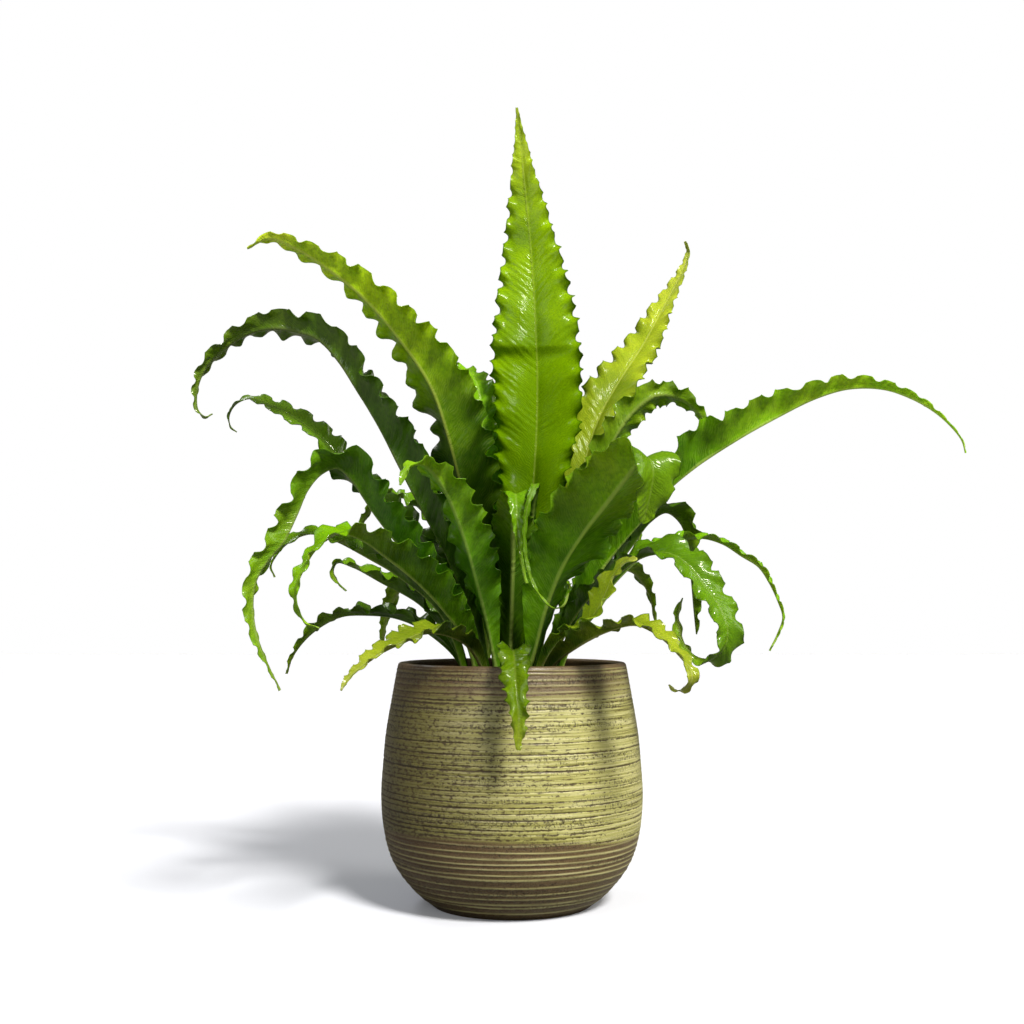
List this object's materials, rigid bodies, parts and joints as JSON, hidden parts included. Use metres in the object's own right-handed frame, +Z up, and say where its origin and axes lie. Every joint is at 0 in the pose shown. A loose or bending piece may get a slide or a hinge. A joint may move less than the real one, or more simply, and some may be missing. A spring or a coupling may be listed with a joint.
{
  "type": "potted bird's nest fern",
  "caption": "Fern with waved, arching strap fronds growing as a rosette from a crown in potting mix, in a round ridged stoneware planter with a flat foot.",
  "frame": {"origin": "centre of the planter's flat foot, on the surface that it stands on", "axes": "+Z up out of the planter, -Y towards the viewer, +X to the viewer's right"},
  "size_m": [0.742, 0.5049, 0.8043],
  "materials": {
    "planter_glaze": "satin",
    "potting_mix": "matte",
    "crown_scales": "matte",
    "frond_lime": "satin",
    "frond_green": "satin",
    "frond_dark": "satin",
    "frond_yellow": "satin"
  },
  "bodies": {
    "root": {"planter": "planter_glaze", "potting_mix": "potting_mix", "crown": "crown_scales", "frond_tall_centre": "frond_lime", "frond_lean_left": "frond_lime", "frond_back_left": "frond_green", "frond_lime_right": "frond_lime", "frond_wide_right": "frond_dark", "frond_curl_front": "frond_green", "frond_tendril": "frond_yellow", "frond_arch_left": "frond_dark", "frond_wisp_left": "frond_dark", "frond_bent_left": "frond_dark", "frond_front_left": "frond_green", "frond_under_left": "frond_green", "frond_hook_left": "frond_dark", "frond_low_left": "frond_dark", "frond_lime_left": "frond_yellow", "frond_drop_front": "frond_lime", "frond_back_right": "frond_green", "frond_long_right": "frond_green", "frond_finger_right": "frond_dark", "frond_wisp_right": "frond_green", "frond_hoop_right": "frond_green", "frond_low_right": "frond_yellow", "frond_twist_right": "frond_yellow", "frond_inner_left": "frond_dark", "frond_rear_tall": "frond_green", "frond_rear_mid_right": "frond_green", "frond_rear_mid_left": "frond_dark", "frond_rear_side_left": "frond_dark", "frond_rear_low_left": "frond_green", "frond_rear_low": "frond_green", "frond_rear_low_right": "frond_lime", "frond_rear_side_right": "frond_green"}
  },
  "joints": []
}
